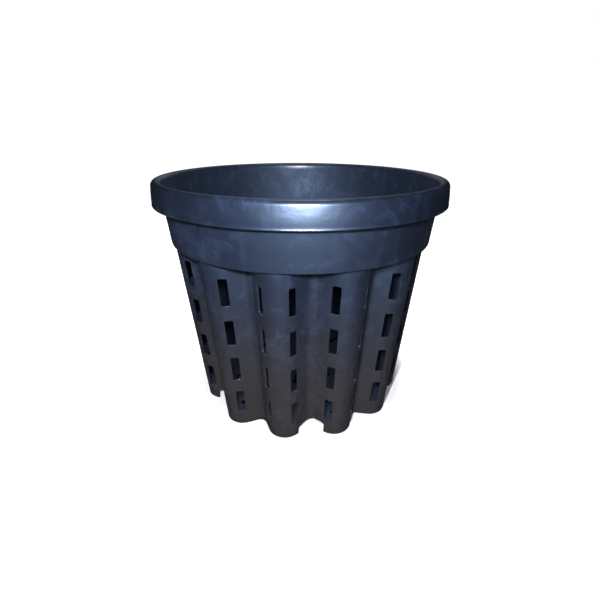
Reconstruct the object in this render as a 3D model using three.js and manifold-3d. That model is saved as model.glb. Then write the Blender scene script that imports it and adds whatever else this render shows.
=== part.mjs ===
// Air pruning pot: a tapered plant pot moulded in black plastic, with a turned-down rim, a plain collar
// and a fluted wall of hollow ribs that carry two columns of tall air slots each and end in feet.
// Millimetres, +Z up. The origin is on the ground under the middle of the pot, and one rib points to -Y.
import * as THREE from 'three';
import { mergeVertices } from 'three/addons/utils/BufferGeometryUtils.js';
import Module from 'manifold-3d';

const wasm = await Module();
wasm.setup();

// Rim: a rounded flange with a skirt turned down from its outer edge, flaring a little
const rimTop = 333;
const rimRadius = 200;
const rimDepth = 29;
const rimEdgeRound = 7.2;
const skirtFlare = 2.3;
const skirtThickness = 2.5;
const skirtLipRound = 1.2;
const flangeWidth = 12.4;
const flangeThickness = 3.5;

// Collar: the plain band from the ledge up to the flange, drawn in by its taper on the way down
const collarWall = 3;
const collarTaper = 5.5;
const collarCornerRound = 1.8;

// Ledge: the step from the collar's outside in to the crests of the ribs
const ledgeHeight = 254;
const ledgeStep = 3.7;
const ledgeThickness = 3;

// Fluted wall: the crests lean in from the ledge to the ground, where the flute's plan is set out
const ribCount = 12;
const crestLean = 18.6;
const fluteDepth = 25;
const flankBearing = THREE.MathUtils.degToRad(59.4);
const valleyRound = 10;
const fluteWall = 2.5;

// Air slots: two columns on the shoulders of each rib, placed by the middles of the end slots
const slotRows = 4;
const slotHeight = 36.6;
const slotWidth = 11;
const topSlotDrop = 38.8;
const lowSlotRise = 43.6;
const slotBearing = THREE.MathUtils.degToRad(46.4);

// Arches at the ground, one in every second valley, and the floor plate at their tops
const archEvery = 2;
const archWidth = 37;
const archHeight = 16.8;
const archRound = 5.5;
const floorThickness = 3;

// Drain holes: a middle hole, rings of radial slots with bars between them, and one hole in each rib
const middleHoleRadius = 9;
const drainWidth = 8;
const drainBar = 18;
const drainRingCounts = [6, 12];
const pocketHoleRadius = 5;

// Clearance between neighbouring regions, and how finely round stretches are divided
const seamGap = 0.3;
const turnSteps = 60;
const crestSteps = 4;
const valleySteps = 3;
const filletSteps = 3;
const holeSteps = 8;

const rimBottom = rimTop - rimDepth;
const rimTopRadius = rimRadius - skirtFlare;
const skirtTop = rimTop - rimEdgeRound;
const flangeBottom = rimTop - flangeThickness;
const mouthRadius = rimTopRadius - flangeWidth;
const mouthRound = flangeWidth - rimEdgeRound;
const collarTop = skirtTop - seamGap;
const collarTopRadius = mouthRadius + collarWall;
const collarBaseRadius = collarTopRadius - collarTaper;
const collarInside = collarBaseRadius - collarWall;
const ledgeRadius = collarBaseRadius - ledgeStep;
const crestRadius = ledgeRadius - crestLean;
const draft = (ledgeRadius / crestRadius - 1) / ledgeHeight;
const halfPitch = Math.PI / ribCount;
const topSlotHeight = ledgeHeight - topSlotDrop;
const slotPitch = (topSlotHeight - lowSlotRise) / (slotRows - 1);
const plastic = { color: 0x17181c, roughness: 0.42, metalness: 0 };

const pot = new THREE.Group();

function addPiece(name, geometry, bearing = 0) {
  const mesh = new THREE.Mesh(geometry, new THREE.MeshStandardMaterial(plastic));
  mesh.name = name;
  mesh.rotation.z = bearing;
  pot.add(mesh);
}

// Keeps positions only and joins the vertices that lie on each other
function weld(geometry) {
  geometry.deleteAttribute('normal');
  geometry.deleteAttribute('uv');
  return mergeVertices(geometry);
}

function toSolid(geometry) {
  const welded = weld(geometry);
  const vertProperties = new Float32Array(welded.attributes.position.array);
  const triVerts = new Uint32Array(welded.index.array);
  return new wasm.Manifold(new wasm.Mesh({ numProp: 3, vertProperties, triVerts }));
}

function toGeometry(solid) {
  const mesh = solid.getMesh();
  const geometry = new THREE.BufferGeometry();
  geometry.setAttribute('position', new THREE.BufferAttribute(mesh.vertProperties, 3));
  geometry.setIndex(new THREE.BufferAttribute(mesh.triVerts, 1));
  geometry.computeVertexNormals();
  return geometry;
}

function cut(geometry, cutters) {
  return toGeometry(cutters.reduce((solid, cutter) => solid.subtract(toSolid(cutter)), toSolid(geometry)));
}

function polar(radius, bearing) {
  return new THREE.Vector2(radius * Math.cos(bearing), radius * Math.sin(bearing));
}

// Points of an arc, both ends included
function arc(centre, radius, from, to, steps) {
  return Array.from({ length: steps + 1 }, (_, i) => {
    return polar(radius, from + ((to - from) * i) / steps).add(centre);
  });
}

// Outline through corners given as [x, y, radius], with each corner rounded to its radius
function rounded(corners) {
  return corners.flatMap(([x, y, radius = 0], i) => {
    const corner = new THREE.Vector2(x, y);
    if (radius === 0) return [corner];
    const towards = (other) => new THREE.Vector2(other[0], other[1]).sub(corner).normalize();
    const back = towards(corners.at(i - 1));
    const ahead = towards(corners[(i + 1) % corners.length]);
    const half = Math.acos(back.dot(ahead)) / 2;
    const middle = back.clone().add(ahead).normalize();
    const centre = corner.clone().addScaledVector(middle, radius / Math.sin(half));
    const from = middle.clone().negate().angle() - (Math.PI / 2 - half) * Math.sign(ahead.cross(back));
    const sweep = (Math.PI - 2 * half) * Math.sign(ahead.cross(back));
    return arc(centre, radius, from, from + sweep, filletSteps);
  });
}

// Ring turned from an outline of radius and height that runs anticlockwise
function turned(corners) {
  const outline = rounded(corners);
  const ring = new THREE.LatheGeometry([...outline, outline[0]], turnSteps);
  const welded = weld(ring.rotateX(Math.PI / 2));
  welded.computeVertexNormals();
  return welded;
}

// Leans a plan section out with height, as the mould's draft does
function leanOut(geometry) {
  const position = geometry.attributes.position;
  for (let i = 0; i < position.count; i += 1) {
    const scale = 1 + draft * position.getZ(i);
    position.setX(i, position.getX(i) * scale);
    position.setY(i, position.getY(i) * scale);
  }
  return geometry;
}

function extruded(shape, depth, base) {
  return new THREE.ExtrudeGeometry(shape, { depth, bevelEnabled: false }).translate(0, 0, base);
}

// Half a flute in plan at the ground, from the crest of the rib on +X to the valley beside it. The flank
// is the straight tangent between the two arcs, and its bearing settles how round the crest is.
// The inset moves the line into the wall.
const valleyCentre = polar(crestRadius - fluteDepth + valleyRound, halfPitch);
const flankReach = valleyCentre.dot(polar(1, flankBearing)) - valleyRound;
const crestRound = (flankReach - crestRadius * Math.cos(flankBearing)) / (1 - Math.cos(flankBearing));
const crestCentre = polar(crestRadius - crestRound, 0);

function crestLine(inset) {
  return arc(crestCentre, crestRound - inset, 0, flankBearing, crestSteps);
}

function valleyLine(inset) {
  const away = Math.PI;
  return arc(valleyCentre, valleyRound + inset, flankBearing + away, halfPitch + away, valleySteps);
}

// The middle of the flank, where a rib meets a web, less half the clearance on the side asked for
function flankMiddle(inset, side) {
  const start = crestLine(inset).at(-1);
  const run = valleyLine(inset)[0].sub(start);
  const place = run.length() / 2 + (side * seamGap) / 2;
  return start.addScaledVector(run.normalize(), place);
}

// The other half of a line that ends or starts on the line of symmetry at the given bearing
function mirrored(points, bearing) {
  return points.map((point) => polar(point.length(), 2 * bearing - point.angle())).reverse();
}

function ribLine(inset) {
  const half = [...crestLine(inset), flankMiddle(inset, -1)];
  return [...mirrored(half.slice(1), 0), ...half];
}

function webLine(inset) {
  const half = [flankMiddle(inset, 1), ...valleyLine(inset)];
  return [...half, ...mirrored(half.slice(0, -1), halfPitch)];
}

// The whole fluted outline, closed
function fluteLine(inset) {
  const half = [...crestLine(inset), ...valleyLine(inset)];
  const flute = [...half, ...mirrored(half.slice(1, -1), halfPitch)];
  return Array.from({ length: ribCount }, (_, i) => i * 2 * halfPitch).flatMap((turn) => {
    return flute.map((point) => polar(point.length(), point.angle() + turn));
  });
}

function wallStrip(line) {
  const strip = new THREE.Shape([...line(0), ...line(fluteWall).reverse()]);
  return leanOut(extruded(strip, ledgeHeight - seamGap, 0));
}

// Rim flange, bent down to the collar inside and to the skirt outside, and the skirt that flares from it
function addRim() {
  const outside = (height) => rimTopRadius + (skirtFlare * (rimTop - height)) / rimDepth;
  const inside = (height) => outside(height) - skirtThickness;
  const bendRound = Math.min(rimEdgeRound - flangeThickness, (inside(flangeBottom) - collarTopRadius) / 2);
  const skirtSeam = skirtTop - seamGap;
  addPiece('rim_flange', turned([
    [mouthRadius, skirtTop],
    [collarTopRadius, skirtTop],
    [collarTopRadius, flangeBottom, bendRound],
    [inside(flangeBottom), flangeBottom, bendRound],
    [inside(skirtTop), skirtTop],
    [outside(skirtTop), skirtTop],
    [rimTopRadius, rimTop, rimEdgeRound],
    [mouthRadius, rimTop, mouthRound],
  ]));
  addPiece('rim_skirt', turned([
    [inside(skirtSeam), skirtSeam],
    [inside(rimBottom), rimBottom, skirtLipRound],
    [rimRadius, rimBottom, skirtLipRound],
    [outside(skirtSeam), skirtSeam],
  ]));
}

// Collar with its rounded lower corner, and the ledge that fills its lower end
function addCollar() {
  addPiece('collar', turned([
    [collarInside, ledgeHeight],
    [collarBaseRadius, ledgeHeight, collarCornerRound],
    [collarTopRadius, collarTop],
    [mouthRadius, collarTop],
  ]));
  const ledgeEdge = collarInside - seamGap;
  const ring = new THREE.Shape(arc(new THREE.Vector2(), ledgeEdge, 0, 2 * Math.PI, turnSteps).slice(1));
  const scale = ledgeRadius / crestRadius;
  ring.holes.push(new THREE.Path(fluteLine(fluteWall).map((point) => point.multiplyScalar(scale))));
  addPiece('ledge', weld(extruded(ring, ledgeThickness, ledgeHeight)), -Math.PI / 2);
}

// One air slot, square to the shoulder in plan and leaning with it
function airSlot(bearing, middle) {
  const out = new THREE.Vector3(Math.cos(bearing), Math.sin(bearing), 0);
  const along = new THREE.Vector3(-out.y, out.x, 0);
  const foot = polar(crestRound, bearing).add(crestCentre);
  const lean = new THREE.Vector3(foot.x * draft, foot.y * draft, 1);
  const place = new THREE.Vector3(foot.x, foot.y, 0).addScaledVector(lean, middle);
  const slot = new THREE.BoxGeometry(crestRound, slotWidth, slotHeight);
  return slot.applyMatrix4(new THREE.Matrix4().makeBasis(out, along, lean).setPosition(place));
}

// Arch over the gap between two feet, cut through the wall along the valley's bearing
function arch(bearing) {
  const belowGround = -archRound;
  const outline = new THREE.Shape(rounded([
    [-archWidth / 2, belowGround],
    [archWidth / 2, belowGround],
    [archWidth / 2, archHeight, archRound],
    [-archWidth / 2, archHeight, archRound],
  ]));
  const inside = crestRadius - 2 * fluteDepth;
  const cutter = extruded(outline, 3 * fluteDepth, inside);
  return cutter.rotateX(Math.PI / 2).rotateZ(Math.PI / 2 + bearing);
}

// Ribs and the webs between them. An arched web shares its arch with the ribs on both sides.
function addFlutedWall() {
  const isArched = (web) => ((web + ribCount) % ribCount) % archEvery === 0;
  const slots = [-slotBearing, slotBearing].flatMap((bearing) => {
    return Array.from({ length: slotRows }, (_, row) => airSlot(bearing, topSlotHeight - row * slotPitch));
  });
  for (let i = 0; i < ribCount; i += 1) {
    const before = isArched(i - 1) ? [arch(-halfPitch)] : [];
    const after = isArched(i) ? [arch(halfPitch)] : [];
    const bearing = i * 2 * halfPitch - Math.PI / 2;
    const number = String(i + 1).padStart(2, '0');
    addPiece(`rib_${number}`, cut(wallStrip(ribLine), [...slots, ...before, ...after]), bearing);
    addPiece(`web_${number}`, cut(wallStrip(webLine), after), bearing);
  }
}

// Floor plate that follows the inside of the fluted wall, with its drain holes
function addFloor() {
  const plate = new THREE.Shape(fluteLine(fluteWall + seamGap));
  const addHole = (points) => plate.holes.push(new THREE.Path(points));
  const roundHole = (centre, radius) => arc(centre, radius, 0, 2 * Math.PI, holeSteps).slice(1);
  addHole(roundHole(new THREE.Vector2(), middleHoleRadius));
  const valleyInside = crestRadius - fluteDepth - fluteWall;
  const bars = (drainRingCounts.length + 1) * drainBar;
  const drainLength = (valleyInside - middleHoleRadius - bars) / drainRingCounts.length;
  const drainRound = drainWidth / 2;
  const quarter = Math.PI / 2;
  drainRingCounts.forEach((count, ring) => {
    const from = middleHoleRadius + drainBar + ring * (drainLength + drainBar) + drainRound;
    const to = from + drainLength - drainWidth;
    for (let i = 0; i < count; i += 1) {
      const bearing = (i * 2 * Math.PI) / count;
      addHole([
        ...arc(polar(to, bearing), drainRound, bearing - quarter, bearing + quarter, holeSteps / 2),
        ...arc(polar(from, bearing), drainRound, bearing + quarter, bearing + 3 * quarter, holeSteps / 2),
      ]);
    }
  });
  for (let i = 0; i < ribCount; i += 1) {
    addHole(roundHole(polar(crestCentre.x, i * 2 * halfPitch), pocketHoleRadius));
  }
  addPiece('floor', weld(leanOut(extruded(plate, floorThickness, archHeight))), -Math.PI / 2);
}

addRim();
addCollar();
addFlutedWall();
addFloor();

export default pot;
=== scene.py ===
import math

import bmesh
import bpy
from mathutils import Matrix, Vector


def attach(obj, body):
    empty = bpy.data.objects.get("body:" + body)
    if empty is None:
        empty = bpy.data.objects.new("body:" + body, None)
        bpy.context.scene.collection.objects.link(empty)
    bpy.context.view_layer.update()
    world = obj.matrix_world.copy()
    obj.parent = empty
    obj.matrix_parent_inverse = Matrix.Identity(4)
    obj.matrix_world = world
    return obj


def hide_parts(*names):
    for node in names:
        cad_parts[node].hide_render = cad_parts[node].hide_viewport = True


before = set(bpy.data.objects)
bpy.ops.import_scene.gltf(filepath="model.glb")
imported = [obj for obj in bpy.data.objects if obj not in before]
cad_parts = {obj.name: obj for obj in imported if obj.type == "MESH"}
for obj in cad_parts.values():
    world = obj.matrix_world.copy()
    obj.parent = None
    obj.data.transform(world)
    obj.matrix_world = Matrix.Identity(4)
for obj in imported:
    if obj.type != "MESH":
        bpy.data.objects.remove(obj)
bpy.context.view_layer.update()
mm = 0.001
print("frame loaded,", len(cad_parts), "nodes")


# shader maths: a wire is one socket, and sums on wires add Math nodes
class Wire:
    def __init__(self, tree, socket=None):
        self.tree = tree
        self.socket = socket

    def node(self, kind, settings=None, inputs=None, output=0):
        made = self.tree.nodes.new(kind)
        for name, value in (settings or {}).items():
            setattr(made, name, value)
        for name, value in (inputs or {}).items():
            if isinstance(value, Wire):
                self.tree.links.new(value.socket, made.inputs[name])
            else:
                made.inputs[name].default_value = value
        return Wire(self.tree, made.outputs[output])

    def sum(self, operation, first, second):
        return self.node("ShaderNodeMath", {"operation": operation}, {0: first, 1: second})

    def __add__(self, other):
        return self.sum("ADD", self, other)

    def __radd__(self, other):
        return self.sum("ADD", other, self)

    def __sub__(self, other):
        return self.sum("SUBTRACT", self, other)

    def __rsub__(self, other):
        return self.sum("SUBTRACT", other, self)

    def __mul__(self, other):
        return self.sum("MULTIPLY", self, other)

    def __rmul__(self, other):
        return self.sum("MULTIPLY", other, self)


def blendColours(shade, factor, first, second):
    settings = {"data_type": "RGBA"}
    return shade.node("ShaderNodeMix", settings, {0: factor, 6: first, 7: second}, 2)


def smoothStep(shade, value, low, high):
    settings = {"interpolation_type": "SMOOTHSTEP"}
    sockets = {"Value": value, "From Min": low, "From Max": high}
    return shade.node("ShaderNodeMapRange", settings, sockets)


# black plastic as it comes out of the mould, dusty low on the outside, where the brown of the dust
# is also a painted reflection of the warm floor; heights are in metres
plasticLook = {
    "black": (0.0048, 0.0072, 0.0140, 1),
    # the flow mark colour also paints a lighter bluish sheen in a band round the collar
    "flowMarkAndSheen": (0.0335, 0.0470, 0.0870, 1),
    # the dust colour is partly real dust and partly a painted warm reflection of the floor
    "dustAndWarmReflection": (0.0395, 0.0285, 0.0170, 1),
    "tint": (0.50, 0.71, 1.0, 1),
    # marks: how fine each is, from where to where it fades in, and how much it shows
    "lineScale": 16.0, "lineWidth": 0.070,
    "patchScale": 10.0, "patchRange": (0.44, 0.60),
    "cloudScale": 26.0, "cloudRange": (0.50, 0.72),
    "wipeScale": 70.0, "wipeRange": (0.52, 0.76), "wipeStretch": 0.07,
    "speckScale": 330.0, "speckRange": (0.69, 0.76),
    "swirlShare": 0.6, "wipeShare": 0.25, "speckShare": 0.15, "markAndSheenShare": 0.6,
    # the collar band is a painted sheen: lighter bluish patches round the collar
    "collarFoot": (0.235, 0.262), "collarHead": (0.295, 0.312), "collarPaintedSheen": 0.22,
    "dustAndReflectionTop": 0.28, "dustAndReflectionFacing": (-0.1, 0.35), "dustAndReflectionScale": 38.0, "dustAndReflectionPatches": 0.38,
    "dustAndReflectionShare": 0.8,
    # gloss
    "roughness": 0.52, "flowGloss": 0.10, "glossScale": 14.0, "glossPatches": 0.10,
    "rimFoot": (0.296, 0.308), "rimPolish": 0.11,
    "mouth": (0.322, 0.330), "insideFacing": (-0.4, 0.1), "insideDull": 0.09,
    "coat": 0.42, "coatRoughness": 0.24, "coatScale": 34.0, "coatLeast": 0.55, "coatPatches": 0.9,
    # relief
    "waveScale": 13.0, "waveHeight": 0.0007,
    "rippleScale": 70.0, "rippleHeight": 0.00030,
    "grainScale": 900.0, "grainHeight": 0.000012,
}


def makePlastic(look):
    material = bpy.data.materials.new("satinBlackPlastic")
    material.use_nodes = True
    tree = material.node_tree
    shader = tree.nodes["Principled BSDF"]
    shade = Wire(tree)
    place = shade.node("ShaderNodeTexCoord", output="Object")
    height = shade.node("ShaderNodeSeparateXYZ", inputs={0: place}, output="Z")
    noiseMiddle = 0.5

    def noise(scale, detail, distortion=0.0, roughness=0.5, vector=place):
        sockets = {"Vector": vector, "Scale": look[scale], "Detail": detail}
        sockets.update({"Distortion": distortion, "Roughness": roughness})
        return shade.node("ShaderNodeTexNoise", inputs=sockets)

    def between(value, limits):
        return smoothStep(shade, value, *look[limits])

    def vectorMath(operation, values, output=0):
        return shade.node("ShaderNodeVectorMath", {"operation": operation}, values, output)

    # flow marks swirl where the melt met, wipe marks run up and down
    offMiddle = noise("lineScale", 3.0, 3.0) - noiseMiddle
    line = shade.node("ShaderNodeMath", {"operation": "ABSOLUTE"}, {0: offMiddle})
    patch = between(noise("patchScale", 2.0, 0.5), "patchRange")
    swirl = (1 - smoothStep(shade, line, 0.0, look["lineWidth"])) * patch
    cloud = between(noise("cloudScale", 5.0, 1.8, 0.6), "cloudRange")
    swirl = swirl * look["swirlShare"] + look["swirlShare"] * cloud
    stretch = {"Vector": place, "Scale": (1.0, 1.0, look["wipeStretch"])}
    upright = shade.node("ShaderNodeMapping", inputs=stretch)
    wipe = between(noise("wipeScale", 3.0, 0.4, 0.6, upright), "wipeRange")
    marksAndSheen = swirl * (1 - look["wipeShare"]) + wipe * look["wipeShare"]
    # painted sheen: a lighter bluish band of patches round the collar, mixed into the marks
    onCollar = between(height, "collarFoot") * (1 - between(height, "collarHead"))
    marksAndSheen = marksAndSheen + onCollar * look["collarPaintedSheen"] * patch
    speck = between(noise("speckScale", 2.0), "speckRange")

    # dust lies low on the outside, where the faces look away from the axis; its brown also paints a
    # warm reflection of the floor there
    facing = shade.node("ShaderNodeNewGeometry", output="Normal")
    outward = vectorMath("NORMALIZE", {0: vectorMath("MULTIPLY", {0: place, 1: (1, 1, 0)})})
    across = vectorMath("DOT_PRODUCT", {0: facing, 1: outward}, "Value")
    low = (1 - smoothStep(shade, height, 0.0, look["dustAndReflectionTop"])) * between(across, "dustAndReflectionFacing")
    patches = look["dustAndReflectionPatches"]
    dustAndWarmReflection = low * (1 - patches + patches * noise("dustAndReflectionScale", 3.0, 0.6))

    # the colour: flow marks with the collar's painted sheen, then dust with its painted warm floor
    # reflection
    colour = blendColours(shade, marksAndSheen * look["markAndSheenShare"], look["black"], look["flowMarkAndSheen"])
    cover = dustAndWarmReflection * look["dustAndReflectionShare"] + speck * look["speckShare"]
    colour = blendColours(shade, cover, colour, look["dustAndWarmReflection"])
    tree.links.new(colour.socket, shader.inputs["Base Color"])

    # the rim is polished by handling, the inside is dull, scuffed by soil up to the mouth
    inward = 1 - between(across, "insideFacing")
    scuffed = inward * (1 - between(height, "mouth"))
    handled = between(height, "rimFoot") * (1 - inward)
    gloss = look["roughness"] - marksAndSheen * look["flowGloss"]
    gloss = gloss + look["glossPatches"] * (noise("glossScale", 2.0) - noiseMiddle)
    gloss = gloss - handled * look["rimPolish"] + scuffed * look["insideDull"]
    tree.links.new(gloss.socket, shader.inputs["Roughness"])
    sheen = look["coat"] * (1 - scuffed) * (1 - look["dustAndReflectionShare"] * dustAndWarmReflection)
    sheen = sheen * (look["coatLeast"] + look["coatPatches"] * noise("coatScale", 4.0, 0.8, 0.6))
    tree.links.new(sheen.socket, shader.inputs["Coat Weight"])
    shader.inputs["Coat Roughness"].default_value = look["coatRoughness"]
    shader.inputs["Specular Tint"].default_value = look["tint"]

    waves = noise("waveScale", 2.0, 0.8) * look["waveHeight"]
    ripples = noise("rippleScale", 3.0, 0.6) * look["rippleHeight"]
    relief = waves + ripples + noise("grainScale", 1.0) * look["grainHeight"]
    sockets = {"Height": relief, "Distance": 1.0, "Strength": 1.0}
    bump = shade.node("ShaderNodeBump", inputs=sockets)
    tree.links.new(bump.socket, shader.inputs["Normal"])
    return material


plastic = makePlastic(plasticLook)
print("plastic mixed")

sharpAngle = math.radians(50)  # edges turned further than this stay crisp


def addPiece(name, made, *nodes):
    bmesh.ops.recalc_face_normals(made, faces=made.faces)
    mesh = bpy.data.meshes.new(name)
    made.to_mesh(mesh)
    made.free()
    mesh.polygons.foreach_set("use_smooth", [True] * len(mesh.polygons))
    mesh.set_sharp_from_angle(angle=sharpAngle)
    mesh.materials.append(plastic)
    piece = bpy.data.objects.new(name, mesh)
    bpy.context.scene.collection.objects.link(piece)
    soften = piece.modifiers.new("evenShading", "WEIGHTED_NORMAL")
    soften.keep_sharp = True
    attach(piece, "root")
    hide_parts(*nodes)


# outline through (x, y, radius) corners, each rounded to its radius
def roundedOutline(corners, steps=8):
    outline = []
    for i, (x, y, radius) in enumerate(corners):
        corner = Vector((x, y))
        if not radius:
            outline.append(corner)
            continue
        back = (Vector(corners[i - 1][:2]) - corner).normalized()
        ahead = (Vector(corners[(i + 1) % len(corners)][:2]) - corner).normalized()
        half = back.angle(ahead) / 2
        middle = (back + ahead).normalized()
        centre = corner + middle * radius / math.sin(half)
        first = corner + back * radius / math.tan(half) - centre
        turn = (math.pi - 2 * half) * math.copysign(1, first.x * ahead.y - first.y * ahead.x)
        for step in range(steps + 1):
            outline.append(centre + Matrix.Rotation(turn * step / steps, 2) @ first)
    return outline


def turnedRing(outline, columns=240):
    made = bmesh.new()
    rings = []
    for i in range(columns):
        bearing = 2 * math.pi * i / columns
        across, up = math.cos(bearing), math.sin(bearing)
        places = [(p.x * across * mm, p.x * up * mm, p.y * mm) for p in outline]
        rings.append([made.verts.new(place) for place in places])
    for i, ring in enumerate(rings):
        after = rings[(i + 1) % columns]
        for j in range(len(ring)):
            k = (j + 1) % len(ring)
            made.faces.new((ring[j], after[j], after[k], ring[k]))
    return made


# rim: rounded top, slightly bulging skirt with a fine bead at its lip; sizes are in millimetres
rim = {"top": 333.0, "nominalRadius": 200.0, "radius": 199.88, "depth": 29.0, "edgeRound": 7.2,
       "flare": 2.3, "skirt": 2.5, "width": 12.4, "flange": 3.5, "bend": 3.4,
       "bulge": 0.35, "bulgeSteps": 8, "crown": 6.2, "topFlat": 0.2,
       "bead": 0.45, "beadHeight": 2.2, "beadShare": 0.6, "beadRound": 0.5,
       "lipRound": 0.8, "lipInside": 0.9}
collar = {"wall": 3.0, "taper": 5.5, "cornerRound": 1.8}
ledge = {"height": 254.0, "step": 3.7, "thickness": 3.0}

rim["bottom"] = rim["top"] - rim["depth"]
rim["seam"] = rim["top"] - rim["edgeRound"]
mouthRadius = rim["nominalRadius"] - rim["flare"] - rim["width"]
collarTop = mouthRadius + collar["wall"]
collarBase = collarTop - collar["taper"]
collarLean = collar["taper"] / (rim["seam"] - ledge["height"])


def makeRim():
    lip = rim["radius"] - rim["bead"]
    under = rim["top"] - rim["flange"]
    start = rim["bottom"] + rim["beadHeight"]
    side = []
    for i in range(rim["bulgeSteps"] + 1):
        share = i / rim["bulgeSteps"]
        height = start + (rim["seam"] - start) * share
        lean = rim["flare"] * (height - start) / (rim["top"] - start)
        side.append((lip - lean + 4 * rim["bulge"] * share * (1 - share), height, 0))
    inside = lip - rim["skirt"]
    beadTop = rim["bottom"] + rim["beadHeight"] * rim["beadShare"]
    innerRound = rim["width"] - rim["crown"] - rim["topFlat"]
    outline = roundedOutline([
        (mouthRadius, rim["seam"], 0),
        (collarTop, rim["seam"], 0),
        (collarTop + collarLean * (under - rim["seam"]), under, rim["bend"]),
        (inside - rim["flare"], under, rim["bend"]),
        (inside, rim["bottom"], rim["lipInside"]),
        (rim["radius"], rim["bottom"], rim["lipRound"]),
        (rim["radius"], beadTop, rim["beadRound"]),
        *side[:-1],
        (lip - rim["flare"], rim["top"], rim["crown"]),
        (mouthRadius + collarLean * rim["edgeRound"], rim["top"], innerRound),
    ])
    addPiece("potRim", turnedRing(outline), "rim_flange", "rim_skirt")


def makeCollar():
    outline = roundedOutline([
        (collarBase - collar["wall"], ledge["height"], 0),
        (collarBase, ledge["height"], collar["cornerRound"]),
        (collarTop, rim["seam"], 0),
        (mouthRadius, rim["seam"], 0),
    ])
    addPiece("potCollar", turnedRing(outline), "collar")


makeRim()
makeCollar()
print("rim and collar turned")

# fluted wall: plan at the ground, leaning out with height
wall = {"ribs": 12, "lean": 18.6, "depth": 25.0, "flank": math.radians(59.4), "valleyRound": 10.0,
        "thickness": 2.5, "edgeSteps": 2}
slots = {"rows": 4, "height": 36.6, "width": 11.0, "topDrop": 38.8, "lowRise": 43.6,
         "bearing": math.radians(46.4), "cornerRound": 1.3, "cornerSteps": 3, "edgeRound": 0.28}
arch = {"width": 37.0, "height": 16.8, "round": 5.5, "every": 2, "edgeRound": 0.5, "band": 5.0}

ledgeRadius = collarBase - ledge["step"]
crestRadius = ledgeRadius - wall["lean"]
draft = (ledgeRadius / crestRadius - 1) / ledge["height"]
halfPitch = math.pi / wall["ribs"]


# the first rib is at the front
def ribBearing(i):
    return 2 * halfPitch * i - math.pi / 2


def polar(radius, bearing):
    return Vector((radius * math.cos(bearing), radius * math.sin(bearing)))


valleyCentre = polar(crestRadius - wall["depth"] + wall["valleyRound"], halfPitch)
flankReach = valleyCentre.dot(polar(1, wall["flank"])) - wall["valleyRound"]
flankCos = math.cos(wall["flank"])
crestRound = (flankReach - crestRadius * flankCos) / (1 - flankCos)
crestCentre = polar(crestRadius - crestRound, 0)


def flankMiddle(inset):
    start = crestCentre + polar(crestRound - inset, wall["flank"])
    end = valleyCentre - polar(wall["valleyRound"] + inset, wall["flank"])
    return (start + end) / 2


def isArched(web):
    return web % wall["ribs"] % arch["every"] == 0


def archRise(point):
    across = abs(-point.x * math.sin(halfPitch) + point.y * math.cos(halfPitch))
    corner = across - (arch["width"] / 2 - arch["round"])
    if corner <= 0:
        return arch["height"]
    drop = max(arch["round"] ** 2 - corner ** 2, 0)
    return arch["height"] - arch["round"] + math.sqrt(drop)


crestSteps, slotSteps, flankSteps, valleySteps = 7, 5, 3, 8
slotSpan = ledge["height"] - slots["topDrop"] - slots["lowRise"]
slotMiddles = [ledge["height"] - slots["topDrop"] - i * slotSpan / (slots["rows"] - 1)
               for i in range(slots["rows"])][::-1]
archTop = arch["height"] + arch["band"]


def ribPlan(column, inset, height):
    side = math.copysign(1, column)
    place = abs(column)
    scale = 1 + draft * height
    radius = crestRound - inset
    spread = math.asin(slots["width"] / 2 / (radius * scale))
    near, far = slots["bearing"] - spread, slots["bearing"] + spread
    if place <= crestSteps:
        point = crestCentre + polar(radius, near * place / crestSteps)
    elif place <= crestSteps + slotSteps:
        point = crestCentre + polar(radius, near + (far - near) * (place - crestSteps) / slotSteps)
    else:
        start = crestCentre + polar(radius, far)
        share = (place - crestSteps - slotSteps) / flankSteps
        point = start.lerp(flankMiddle(inset), share)
    return Vector((point.x, side * point.y)) * scale


def webPlan(column, inset, height):
    side = math.copysign(1, column)
    place = abs(column)
    scale = 1 + draft * height
    if place <= valleySteps:
        bearing = halfPitch + (wall["flank"] - halfPitch) * place / valleySteps
        point = valleyCentre - polar(wall["valleyRound"] + inset, bearing)
    else:
        start = valleyCentre - polar(wall["valleyRound"] + inset, wall["flank"])
        point = start.lerp(flankMiddle(inset), (place - valleySteps) / flankSteps)
    if side < 0:
        bearing = 2 * halfPitch - math.atan2(point.y, point.x)
        point = polar(point.length, bearing)
    return point * scale


# closed shell between an outer and an inner sheet of cells; sheet faces are kind 0, the faces round
# openings and along the ground kind 1, and the faces that meet a neighbour kind 2
def shellFromCells(plan, columns, rows, present, meets):
    made = bmesh.new()
    sheets = []
    for inset in (0, wall["thickness"]):
        sheet = {}
        for c in columns:
            for r, height in enumerate(rows(c)):
                point = plan(c, inset, height)
                sheet[c, r] = made.verts.new((point.x * mm, point.y * mm, height * mm))
        sheets.append(sheet)
    outer, inner = sheets
    edges = {}
    for c, d in zip(columns, columns[1:]):
        for r in range(len(rows(c)) - 1):
            if not present(c, d, r):
                continue
            loop = [(c, r), (d, r), (d, r + 1), (c, r + 1)]
            made.faces.new([outer[k] for k in loop])
            made.faces.new([inner[k] for k in reversed(loop)])
            for edge in zip(loop, loop[1:] + loop[:1]):
                edges.setdefault(frozenset(edge), []).append(edge)
    for found in edges.values():
        if len(found) == 1:
            a, b = found[0]
            face = made.faces.new((outer[b], outer[a], inner[a], inner[b]))
            face.material_index = 2 if meets(a, b) else 1
    bmesh.ops.delete(made, geom=[v for v in made.verts if not v.link_faces], context="VERTS")
    return made, outer, inner


def roundEdges(made, edges, size, segments):
    bmesh.ops.bevel(made, geom=edges, offset=size * mm, offset_type="OFFSET", segments=segments,
                    profile=0.5, affect="EDGES", clamp_overlap=True)


def roundOpenings(made, size):
    edges = [e for e in made.edges if sorted(f.material_index for f in e.link_faces) == [0, 1]]
    roundEdges(made, edges, size, wall["edgeSteps"])
    for face in made.faces:
        face.material_index = 0


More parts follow.
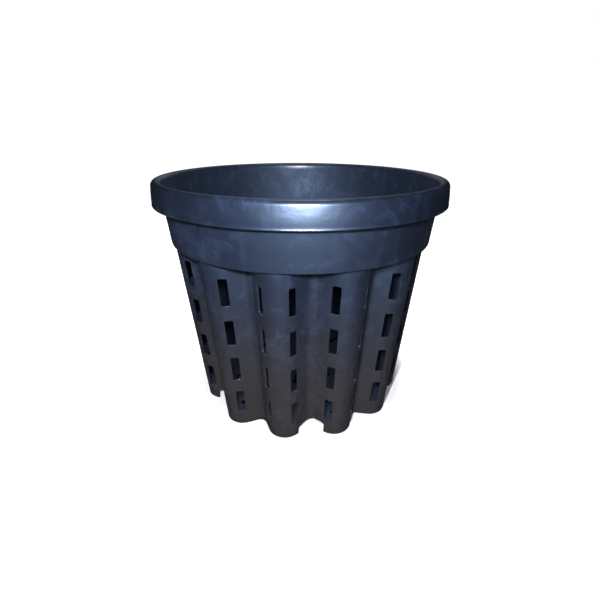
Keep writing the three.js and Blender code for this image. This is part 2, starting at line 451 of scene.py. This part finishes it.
def ribMesh(before, after):
    reach = crestSteps + slotSteps + flankSteps
    near, far = crestSteps, crestSteps + slotSteps
    levels = [archTop]
    for middle in slotMiddles:
        levels += [middle - slots["height"] / 2, middle + slots["height"] / 2]
    levels.append(ledge["height"])
    top = len(levels) + 1
    firstSlot = 3
    slotRows = range(firstSlot, firstSlot + 2 * slots["rows"], 2)

    def rows(c):
        return [0.0, archRise(ribPlan(max(abs(c), far), 0, 0)), *levels]

    def present(c, d, r):
        place = abs(c + d) / 2
        if r == 0:
            return place < far or not (after if c + d > 0 else before)
        return not (near < place < far and r in slotRows)

    def meets(a, b):
        return a[1] == b[1] == top or a[0] == b[0] in (-reach, reach)

    columns = list(range(-reach, reach + 1))
    made, outer, inner = shellFromCells(ribPlan, columns, rows, present, meets)
    corners = [made.edges.get((outer[c, r + k], inner[c, r + k])) for r in slotRows for k in (0, 1)
               for c in (-far, -near, near, far)]
    roundEdges(made, corners, slots["cornerRound"], slots["cornerSteps"])
    roundOpenings(made, slots["edgeRound"])
    return made


def webMesh(arched):
    reach = valleySteps + flankSteps
    top = 3

    def rows(c):
        foot = archRise(webPlan(abs(c), 0, 0)) if arched else 0.0
        return [foot, archTop, ledge["height"] / 2, ledge["height"]]

    def meets(a, b):
        return a[1] == b[1] == top or a[0] == b[0]

    columns = list(range(-reach, reach + 1))
    made = shellFromCells(webPlan, columns, rows, lambda c, d, r: True, meets)[0]
    roundOpenings(made, arch["edgeRound"])
    return made


def makeWall():
    for i in range(wall["ribs"]):
        turn = Matrix.Rotation(ribBearing(i), 4, "Z")
        rib = ribMesh(isArched(i - 1), isArched(i))
        web = webMesh(isArched(i))
        for kind, made in (("Rib", rib), ("Web", web)):
            made.transform(turn)
            addPiece("pot%s%02d" % (kind, i + 1), made, "%s_%02d" % (kind.lower(), i + 1))


makeWall()
print("ribs and webs built")


# the whole line of the wall at the ground, once round, inset from its outer face
def wallLine(inset):
    line = []
    for i in range(wall["ribs"]):
        turn = Matrix.Rotation(ribBearing(i), 2)
        rib = range(-(crestSteps + slotSteps + flankSteps), crestSteps + slotSteps + flankSteps)
        web = range(-(valleySteps + flankSteps), valleySteps + flankSteps)
        line += [turn @ ribPlan(c, inset, 0) for c in rib]
        line += [turn @ webPlan(-c, inset, 0) for c in web]
    return line


def innerLine(height):
    return [point * (1 + draft * height) for point in wallLine(wall["thickness"])]


def makeLedge():
    made = bmesh.new()
    inside = innerLine(ledge["height"])
    low, high = ledge["height"], ledge["height"] + ledge["thickness"]
    edge = collarBase - collar["wall"]
    upperEdge = edge + collarLean * ledge["thickness"]
    loops = []
    for reach, height in ((0, low), (0, high), (upperEdge, high), (edge, low)):
        ring = []
        for point in inside:
            place = point.normalized() * reach if reach else point
            ring.append(made.verts.new((place.x * mm, place.y * mm, height * mm)))
        loops.append(ring)
    for ring, after in zip(loops, loops[1:] + loops[:1]):
        for i in range(len(inside)):
            k = (i + 1) % len(inside)
            made.faces.new((ring[i], ring[k], after[k], after[i]))
    addPiece("potLedge", made, "ledge")


makeLedge()

# floor plate with drain holes, at the tops of the arches
floorPlate = {"thickness": 3.0, "middleHole": 9.0, "drainWidth": 8.0, "drainBar": 18.0,
              "rings": (6, 12), "pocketHole": 5.0, "edgeRound": 0.3, "holeSteps": 24,
              "endSteps": 10, "weld": 1e-6}


def makeFloor():
    curve = bpy.data.curves.new("floorOutline", "CURVE")
    curve.dimensions = "2D"
    curve.fill_mode = "BOTH"
    curve.extrude = (floorPlate["thickness"] / 2 - floorPlate["edgeRound"]) * mm
    curve.bevel_depth = floorPlate["edgeRound"] * mm
    curve.bevel_resolution = 1
    curve.offset = -floorPlate["edgeRound"] * mm

    def addLoop(points):
        spline = curve.splines.new("POLY")
        spline.points.add(len(points) - 1)
        for point, place in zip(spline.points, points):
            point.co = (place.x * mm, place.y * mm, 0, 1)
        spline.use_cyclic_u = True

    def arcPoints(centre, radius, start, end, steps):
        return [centre + polar(radius, start + (end - start) * i / steps) for i in range(steps)]

    addLoop(innerLine(arch["height"] + floorPlate["thickness"] / 2))
    holeSteps, endSteps = floorPlate["holeSteps"], floorPlate["endSteps"]
    addLoop(arcPoints(Vector((0, 0)), floorPlate["middleHole"], 0, 2 * math.pi, holeSteps))
    room = crestRadius - wall["depth"] - wall["thickness"] - floorPlate["middleHole"]
    count = len(floorPlate["rings"])
    length = (room - (count + 1) * floorPlate["drainBar"]) / count
    half = floorPlate["drainWidth"] / 2
    for ring, holes in enumerate(floorPlate["rings"]):
        near = floorPlate["middleHole"] + floorPlate["drainBar"] * (ring + 1) + length * ring + half
        far = near + length - 2 * half
        for i in range(holes):
            turn = 2 * math.pi * i / holes - math.pi / 2
            quarter = math.pi / 2
            loop = arcPoints(polar(far, turn), half, turn - quarter, turn + quarter, endSteps)
            loop += arcPoints(polar(near, turn), half, turn + quarter, turn + 3 * quarter, endSteps)
            addLoop(loop)
    for i in range(wall["ribs"]):
        turn = ribBearing(i)
        pocket = polar(crestCentre.x, turn)
        addLoop(arcPoints(pocket, floorPlate["pocketHole"], 0, 2 * math.pi, holeSteps))
    shape = bpy.data.objects.new("floorOutline", curve)
    bpy.context.scene.collection.objects.link(shape)
    bpy.context.view_layer.update()
    solid = shape.evaluated_get(bpy.context.evaluated_depsgraph_get())
    mesh = bpy.data.meshes.new_from_object(solid)
    made = bmesh.new()
    made.from_mesh(mesh)
    bmesh.ops.remove_doubles(made, verts=made.verts, dist=floorPlate["weld"])
    made.transform(Matrix.Translation((0, 0, (arch["height"] + floorPlate["thickness"] / 2) * mm)))
    bpy.data.objects.remove(shape)
    bpy.data.meshes.remove(mesh)
    addPiece("potFloor", made, "floor")


makeFloor()
print("ledge and floor laid")

# camera as it was held, in millimetres, and pixels of a 600 pixel frame that was cropped off centre
view = {"focal": 366.4, "across": -0.488, "away": 540.81, "height": 392.74, "pitch": 0.4593,
        "roll": 0.0054, "yaw": 0.0147, "turn": math.radians(9.713), "framePixels": 600,
        "cropAcross": 5.56, "cropDown": 8.27, "sensor": 36.0, "nearest": 0.01, "farthest": 50}


def makeCamera():
    data = bpy.data.cameras.new("viewCamera")
    data.sensor_width = view["sensor"]
    data.lens = view["focal"] / view["framePixels"] * data.sensor_width
    data.shift_x = -view["cropAcross"] / view["framePixels"]
    data.shift_y = view["cropDown"] / view["framePixels"]
    data.clip_start, data.clip_end = view["nearest"], view["farthest"]
    camera = bpy.data.objects.new("viewCamera", data)
    bpy.context.scene.collection.objects.link(camera)
    turn = Matrix.Rotation(view["turn"] - view["yaw"], 3, "Z")
    tilt, lean = view["pitch"], view["roll"]
    ahead = turn @ Vector((0, math.cos(tilt), -math.sin(tilt)))
    level = turn @ Vector((1, 0, 0))
    upright = turn @ Vector((0, math.sin(tilt), math.cos(tilt)))
    right = level * math.cos(lean) + upright * math.sin(lean)
    up = upright * math.cos(lean) - level * math.sin(lean)
    pose = Matrix((right, up, -ahead)).transposed().to_4x4()
    spot = Vector((view["across"], -view["away"], view["height"]))
    pose.translation = Matrix.Rotation(view["turn"], 3, "Z") @ spot * mm
    camera.matrix_world = pose
    bpy.context.scene.camera = camera


makeCamera()

# studio: white paper, a flash at the lens made of one lamp for diffuse light and one for gloss, and
# weak soft lamps round the pot
studio = {"floorSize": 40.0, "floorDrop": 0.0002, "floorTone": (0.83, 0.80, 0.76, 1),
          "floorRoughness": 0.9, "floorSheen": 0.1, "glow": 1.0, "glowStart": 0.160,
          "glowFull": 0.215, "worldFill": (0.15, 0.15, 0.16, 1)}
tent = {"radius": 1.1, "lift": 0.0005, "height": 1.5, "steps": 72,
        "side": (0.006, 0.006, 0.007, 1), "front": (0.15, 0.15, 0.18, 1),
        "back": (0.03, 0.03, 0.033, 1), "high": (0.40, 0.39, 0.42, 1),
        "ground": (0.026, 0.023, 0.020, 1), "frontFrom": 0.15, "backFrom": 0.80,
        "highStart": 0.42, "highFull": 0.60, "groundTop": 0.05, "groundShare": 0.6}
# dark sheets in the slots and under the floor plate: painted shade
shadeBlinds = {"gap": 0.3, "overlap": 1.0, "spare": 2, "below": 0.8,
          "tone": (0.0012, 0.0012, 0.0013, 1)}
lensLamps = {
    "lensFlash": {"up": 0.055, "left": 0.050, "size": 0.02, "watts": 6.7,
                  "colour": (0.82, 0.87, 1.0), "unseen": "glossy"},
    "lensGloss": {"up": 0.036, "left": -0.016, "size": 0.04, "wide": 0.17, "watts": 11.0,
                  "colour": (0.84, 0.86, 0.96), "unseen": "diffuse"},
}
lensReach = 0.5
lamps = {
    "sideLeft": {"spot": (-1.3, -0.35, 0.55), "aim": (0, 0, 0.16), "size": 0.8, "watts": 1.3,
                 "colour": (1.0, 0.78, 0.58)},
    "backLeft": {"spot": (-1.15, 0.75, 0.42), "aim": (0, 0, 0.20), "size": 0.8, "watts": 10.0,
                 "colour": (0.92, 0.95, 1.0), "unseen": "glossy"},
    "backRight": {"spot": (1.05, 0.95, 0.42), "aim": (0, 0, 0.20), "size": 0.8, "watts": 11.0,
                  "colour": (0.92, 0.95, 1.0), "unseen": "glossy"},
    "overhead": {"spot": (0, 0.25, 1.45), "aim": (0, 0, 0.20), "size": 0.5, "watts": 3.2,
                 "colour": (0.96, 0.98, 1.0)},
    "behind": {"spot": (-0.22, 1.30, 0.15), "aim": (0, 0, 0.15), "size": 0.28, "watts": 9.0,
               "colour": (1.0, 0.98, 0.95), "unseen": "glossy"},
}


def glowMaterial(name):
    material = bpy.data.materials.new(name)
    material.use_nodes = True
    tree = material.node_tree
    tree.nodes.remove(tree.nodes["Principled BSDF"])
    return tree, Wire(tree), tree.nodes["Material Output"].inputs["Surface"], material


def seenRays(shade):
    path = shade.node("ShaderNodeLightPath", output="Is Camera Ray")
    rays = path.socket.node.outputs
    seen = path + Wire(shade.tree, rays["Is Glossy Ray"])
    seen = seen + Wire(shade.tree, rays["Is Transmission Ray"])
    return shade.sum("MINIMUM", seen, 1.0)


# the paper glows white where it is seen, but not under the pot, which keeps its own shadow
def makeFloorAndWorld():
    low = (0, 0, -studio["floorDrop"])
    bpy.ops.mesh.primitive_plane_add(size=studio["floorSize"], location=low)
    ground = bpy.context.object
    ground.name = "studioFloor"
    paper = bpy.data.materials.new("whitePaper")
    paper.use_nodes = True
    tree = paper.node_tree
    shade = Wire(tree)
    shader = tree.nodes["Principled BSDF"]
    shader.inputs["Base Color"].default_value = studio["floorTone"]
    shader.inputs["Roughness"].default_value = studio["floorRoughness"]
    shader.inputs["Specular IOR Level"].default_value = studio["floorSheen"]
    place = shade.node("ShaderNodeTexCoord", output="Object")
    reach = shade.node("ShaderNodeVectorMath", {"operation": "LENGTH"}, {0: place}, "Value")
    clearOfPot = smoothStep(shade, reach, studio["glowStart"], studio["glowFull"])
    strength = seenRays(shade) * clearOfPot * studio["glow"]
    glow = shade.node("ShaderNodeEmission", inputs={"Strength": strength})
    both = shade.node("ShaderNodeAddShader", inputs={0: Wire(tree, shader.outputs[0]), 1: glow})
    tree.links.new(both.socket, tree.nodes["Material Output"].inputs["Surface"])
    ground.data.materials.append(paper)

    world = bpy.data.worlds.new("studioWorld")
    bpy.context.scene.world = world
    world.use_nodes = True
    air = Wire(world.node_tree)
    colour = blendColours(air, seenRays(air), studio["worldFill"], (1, 1, 1, 1))
    world.node_tree.links.new(colour.socket, world.node_tree.nodes["Background"].inputs["Color"])


def addFlag(name, made, material, *unseen):
    mesh = bpy.data.meshes.new(name)
    made.to_mesh(mesh)
    made.free()
    mesh.materials.append(material)
    flag = bpy.data.objects.new(name, mesh)
    bpy.context.scene.collection.objects.link(flag)
    flag.visible_shadow = flag.visible_diffuse = flag.visible_transmission = False
    for ray in unseen:
        setattr(flag, "visible_" + ray, False)


# tent that only the plastic mirrors: grey behind the pot, blue in front, dark at both sides
def makeTent():
    made = bmesh.new()
    heights = (tent["lift"], tent["height"])
    bmesh.ops.create_cone(made, cap_ends=True, segments=tent["steps"], radius1=tent["radius"],
                          radius2=tent["radius"], depth=heights[1] - heights[0])
    made.transform(Matrix.Translation((0, 0, sum(heights) / 2)))
    tree, shade, surface, cloth = glowMaterial("tentCloth")
    place = shade.node("ShaderNodeTexCoord", output="Object")
    turned = shade.node("ShaderNodeVectorRotate", {"rotation_type": "Z_AXIS"},
                        {"Vector": place, "Angle": -view["turn"]})
    away = shade.node("ShaderNodeSeparateXYZ", inputs={0: turned}, output="Y")
    height = shade.node("ShaderNodeSeparateXYZ", inputs={0: turned}, output="Z")
    back = smoothStep(shade, away, tent["backFrom"] * tent["radius"], tent["radius"])
    front = smoothStep(shade, 0 - away, tent["frontFrom"] * tent["radius"], tent["radius"])
    ground = 1 - smoothStep(shade, height, 0.0, tent["groundTop"])
    high = smoothStep(shade, height, tent["highStart"], tent["highFull"])
    colour = blendColours(shade, high, tent["back"], tent["high"])
    colour = blendColours(shade, back, tent["side"], colour)
    colour = blendColours(shade, front, colour, tent["front"])
    colour = blendColours(shade, ground * tent["groundShare"], colour, tent["ground"])
    glow = shade.node("ShaderNodeEmission", inputs={"Color": colour, "Strength": 1.0})
    tree.links.new(glow.socket, surface)
    addFlag("reflectionTent", made, cloth, "camera")


# painted shade: dark blinds just inside the air slots, dark from inside the pot and clear from
# outside, so that the inside shows through the slots but the white studio behind them doesn't; a
# dark disc under the floor plate is painted shadow over the paper beneath the pot
def makeShadeBlinds():
    made = bmesh.new()
    columns = range(crestSteps - shadeBlinds["spare"], crestSteps + slotSteps + shadeBlinds["spare"])
    inset = wall["thickness"] + shadeBlinds["gap"]
    reach = slots["height"] / 2 + shadeBlinds["overlap"]
    for i in range(wall["ribs"]):
        turn = Matrix.Rotation(ribBearing(i), 2)
        pocket = turn @ crestCentre * mm
        for side in (-1, 1):
            for middle in slotMiddles:
                rows = []
                for height in (middle - reach, middle + reach):
                    places = [turn @ ribPlan(side * c, inset, height) for c in columns]
                    rows.append([made.verts.new((p.x * mm, p.y * mm, height * mm)) for p in places])
                for k in range(len(columns) - 1):
                    face = made.faces.new((rows[0][k], rows[0][k + 1], rows[1][k + 1], rows[1][k]))
                    face.normal_update()
                    if face.normal.xy.dot(face.calc_center_median().xy - pocket) > 0:
                        face.normal_flip()
    # a dark disc under the floor plate: painted shadow on the paper under the pot
    under = arch["height"] - shadeBlinds["below"]
    made.faces.new([made.verts.new((p.x * mm, p.y * mm, under * mm)) for p in innerLine(under)])
    tree, shade, surface, cloth = glowMaterial("paintedShadeCloth")
    dark = shade.node("ShaderNodeEmission", inputs={"Color": shadeBlinds["tone"], "Strength": 1.0})
    clear = shade.node("ShaderNodeBsdfTransparent")
    outside = shade.node("ShaderNodeNewGeometry", output="Backfacing")
    cover = shade.node("ShaderNodeMixShader", inputs={0: outside, 1: dark, 2: clear})
    tree.links.new(cover.socket, surface)
    addFlag("paintedSlotShade", made, cloth, "glossy")


def addLamp(name, lamp, spot, aim):
    data = bpy.data.lights.new(name, "AREA")
    data.shape = "ELLIPSE"
    data.size = lamp.get("wide", lamp["size"])
    data.size_y = lamp["size"]
    data.energy = lamp["watts"]
    data.color = lamp["colour"]
    made = bpy.data.objects.new(name, data)
    bpy.context.scene.collection.objects.link(made)
    made.location = spot
    made.rotation_euler = (Vector(aim) - Vector(spot)).to_track_quat("-Z", "Y").to_euler()
    if "unseen" in lamp:
        setattr(made, "visible_" + lamp["unseen"], False)


def makeLamps():
    for name, lamp in lamps.items():
        addLamp(name, lamp, lamp["spot"], lamp["aim"])
    pose = bpy.context.scene.camera.matrix_world
    for name, lamp in lensLamps.items():
        spot = pose @ Vector((-lamp["left"], lamp["up"], 0))
        addLamp(name, lamp, spot, pose @ Vector((0, 0, -lensReach)))


makeFloorAndWorld()
makeTent()
makeShadeBlinds()
makeLamps()
bpy.context.scene.view_settings.view_transform = "Standard"
print("camera, floor and lamps set")
